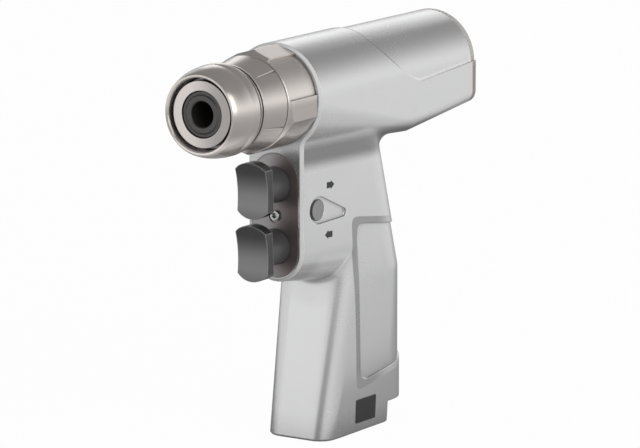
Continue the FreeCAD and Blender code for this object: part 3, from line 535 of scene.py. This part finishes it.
markLook = {
    **moulded, "tone": (0.030, 0.030, 0.032), "rough": 0.42, "grainBump": 0.05,
    "edge": 0.0002, "edgeGain": 1.6,
}
arrowMark = {
    "upper": (-0.0640, -0.0342), "lower": (-0.0630, -0.0529),      # x and z of their middles
    "length": 0.0042, "tail": 0.0024, "half": 0.00113, "headHalf": 0.0016, "proud": 0.00005,
}
footPlate = {"centre": (-0.0874, -0.1246), "long": 0.0130, "tall": 0.00915, "corner": 0.0005, "proud": 0.0002}
markPaint = makeMoulded("mark_paint", markLook)
housingSkin = bvhtree.BVHTree.FromObject(cadNodes["housing"], bpy.context.evaluated_depsgraph_get())


def onLeftSide(x, z):
    # Turns flat work into its place on the left side: its X runs rearward, its Y up, its Z out.
    clear = 2 * cadBox[1][1]    # well outside the housing
    point, normal = housingSkin.ray_cast(Vector((x, clear, z)), Vector((0, -1, 0)))[:2]
    out = normal.normalized()
    rearward = Vector((-1, 0, 0))
    rearward = (rearward - out * rearward.dot(out)).normalized()
    turn = Matrix((rearward, out.cross(rearward), out)).transposed().to_4x4()
    return Matrix.Translation(point) @ turn


def makeMark(name, outline, centre, proud, corner=0.0):
    # A thin plate with the given outline, half sunk in the skin.
    work = bmesh.new()
    face = work.faces.new([work.verts.new((a, b, -proud)) for a, b in outline])
    grown = bmesh.ops.extrude_face_region(work, geom=[face])["geom"]
    top = [item for item in grown if isinstance(item, bmesh.types.BMVert)]
    bmesh.ops.translate(work, verts=top, vec=(0, 0, 2 * proud))
    if corner:
        upright = [e for e in work.edges if abs(e.verts[0].co.z - e.verts[1].co.z) > proud]
        bmesh.ops.bevel(
            work, geom=upright, offset=corner, segments=3, profile=0.5, affect="EDGES", material=-1)
    bmesh.ops.recalc_face_normals(work, faces=work.faces)
    bmesh.ops.transform(work, matrix=onLeftSide(*centre), verts=work.verts)
    mesh = bpy.data.meshes.new(name)
    work.to_mesh(mesh)
    work.free()
    piece = bpy.data.objects.new(name, mesh)
    bpy.context.scene.collection.objects.link(piece)
    mesh.materials.append(markPaint)
    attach(piece, "handpiece")


def makeArrow(name, centre, toward, look):
    # Points rearward with toward at 1 and forward at -1.
    tip, half, head = look["length"] / 2, look["half"], look["headHalf"]
    neck = look["tail"] - tip
    path = [(-tip, -half), (neck, -half), (neck, -head), (tip, 0), (neck, head), (neck, half), (-tip, half)]
    makeMark(name, [(a * toward, b * toward) for a, b in path], centre, look["proud"])


def makeFootPlate(look):
    a, b = look["long"] / 2, look["tall"] / 2
    makeMark("footPlate", [(-a, -b), (a, -b), (a, b), (-a, b)], look["centre"], look["proud"], look["corner"])


makeArrow("upperArrow", arrowMark["upper"], 1, arrowMark)
makeArrow("lowerArrow", arrowMark["lower"], -1, arrowMark)
makeFootPlate(footPlate)
print("arrows and plate set on the left side")

# The dimmer sector of floor and world behind the drill, as the photo sees it.
farSector = {"toward": (-0.846, -0.533), "turn": (0.90, 0.98), "dim": 0.6}
floorSetup = {
    "half": 4.0, "under": 0.0002,                               # half-width, and gap below the foot
    "tone": (0.42, 0.42, 0.42), "rough": 0.9,                   # to light that bounces
    "white": (0.95, 0.95, 0.95), "seen": 0.975,                 # to the camera
    "middle": -0.08, "near": 0.10, "far": 0.75,                 # the glow rises between these distances
    "nearGlow": 0.34, "leftGlow": 0.34, "leftSide": (0.0, 0.04), "farGlow": 1.0,
}
worldSetup = {
    "base": 0.23, "band": 0.88, "bandZ": (0.61, 0.06),
    "toward": (0.985, 0.174), "dimTurn": (0.90, 0.985), "dim": 0.92,
    "farZ": (0.22, 0.10),                                       # the far sector reaches up to here
}


def towards(x, y, direction):
    # How far a place, or a direction of length 1, reaches in another direction, seen from above.
    return x * direction[0] + y * direction[1]


def makeFloor(look):
    # Matt sheet that the camera sees as white; in reflections it darkens towards the drill.
    mesh = bpy.data.meshes.new("floor")
    sheet = bmesh.new()
    bmesh.ops.create_grid(sheet, x_segments=1, y_segments=1, size=look["half"])
    bmesh.ops.translate(sheet, verts=sheet.verts, vec=(0, 0, cadBox[0][2] - look["under"]))
    sheet.to_mesh(mesh)
    sheet.free()
    floor = bpy.data.objects.new("floor", mesh)
    bpy.context.scene.collection.objects.link(floor)

    finish = Finish("floor")
    x, y, z = finish.axes(finish.place())
    ahead = x - look["middle"]
    distance = (ahead * ahead + y * y) ** 0.5
    low = y.ramp(*look["leftSide"]) * look["leftGlow"] + look["nearGlow"]
    glossy = distance.ramp(look["near"], look["far"]) * (look["farGlow"] - low) + low
    inSector = (towards(x, y, farSector["toward"]) / distance).ramp(*farSector["turn"])
    glossy = glossy * (1.0 - inSector * farSector["dim"])
    finish.feed({
        "Base Color": finish.blend(finish.rays("Is Camera Ray"), colour(look["tone"]), colour(look["white"])),
        "Roughness": look["rough"],
        "Specular IOR Level": 0.0,
    })
    seen = finish.rays("Is Camera Ray", "Is Transmission Ray") * look["seen"]
    surface = finish.node("ShaderNodeMixShader", None, {
        0: seen.most(finish.rays("Is Glossy Ray") * glossy),
        1: Value(finish, finish.shader.outputs[0]),
        2: finish.node("ShaderNodeEmission", None, {"Strength": 1.0}),
    })
    finish.wire(finish.tree.nodes["Material Output"], {"Surface": surface})
    mesh.materials.append(finish.material)


def makeWorld(look):
    # White to the camera; to all else a bright band round the horizon, dim overhead and before the nose.
    world = bpy.data.worlds.new("studio")
    bpy.context.scene.world = world
    world.use_nodes = True
    nodes = Nodes(world.node_tree)
    x, y, z = nodes.axes(nodes.node("ShaderNodeTexCoord", output="Generated"))
    dim = towards(x, y, look["toward"]).ramp(*look["dimTurn"]) * look["dim"]
    level = z.ramp(*look["bandZ"]) * look["band"] * (1.0 - dim) + look["base"]
    inSector = towards(x, y, farSector["toward"]).ramp(*farSector["turn"]) * z.ramp(*look["farZ"])
    level = level * (1.0 - inSector * farSector["dim"])
    seen = nodes.rays("Is Camera Ray")
    nodes.wire(world.node_tree.nodes["Background"], {
        "Strength": level * (1.0 - seen) + seen, "Color": (1, 1, 1, 1)})


makeFloor(floorSetup)
makeWorld(worldSetup)

lamps = {
    "rimLamp": {"place": (-1.19, -0.51, 0.49), "target": (-0.1, 0, 0.0), "size": (0.8, 0.4), "power": 0.85},
    "sideLamp": {"place": (0.15, 1.0, 0.45), "target": (-0.09, 0, -0.03), "size": (1.0, 0.8), "power": 4.0},
    "frontLamp": {"place": (1.2, -0.7, 0.25), "target": (-0.06, 0, -0.06), "size": (0.8, 0.6), "power": 0.4},
}
cameraSetup = {
    "place": (1.17541, 0.79195, 0.23642), "azimuth": 32.262, "elevation": 11.042,
    "lens": 225.0, "sensor": 36.0, "clipEnd": 20.0,
}


def addFacing(name, data, place, back):
    # Puts a lamp or camera at its place, level, with its back along the given direction.
    back = back.normalized()
    side = Vector((0, 0, 1)).cross(back).normalized()
    turn = Matrix((side, back.cross(side), back)).transposed().to_4x4()
    holder = bpy.data.objects.new(name, data)
    holder.matrix_world = Matrix.Translation(Vector(place)) @ turn
    bpy.context.scene.collection.objects.link(holder)
    return holder


def makeLamp(name, look):
    light = bpy.data.lights.new(name, "AREA")
    light.shape = "RECTANGLE"
    light.size, light.size_y = look["size"]
    light.energy = look["power"]
    addFacing(name, light, look["place"], Vector(look["place"]) - Vector(look["target"]))


def makeCamera(look):
    camera = bpy.data.cameras.new("camera")
    camera.lens = look["lens"]
    camera.sensor_width = look["sensor"]
    camera.clip_end = look["clipEnd"]
    turn, tilt = math.radians(look["azimuth"]), math.radians(look["elevation"])
    back = Vector((math.cos(turn) * math.cos(tilt), math.sin(turn) * math.cos(tilt), math.sin(tilt)))
    bpy.context.scene.camera = addFacing("camera", camera, look["place"], back)


for name, lamp in lamps.items():
    makeLamp(name, lamp)
makeCamera(cameraSetup)
bpy.context.scene.view_settings.view_transform = "Standard"
print("stage, lamps and camera made")
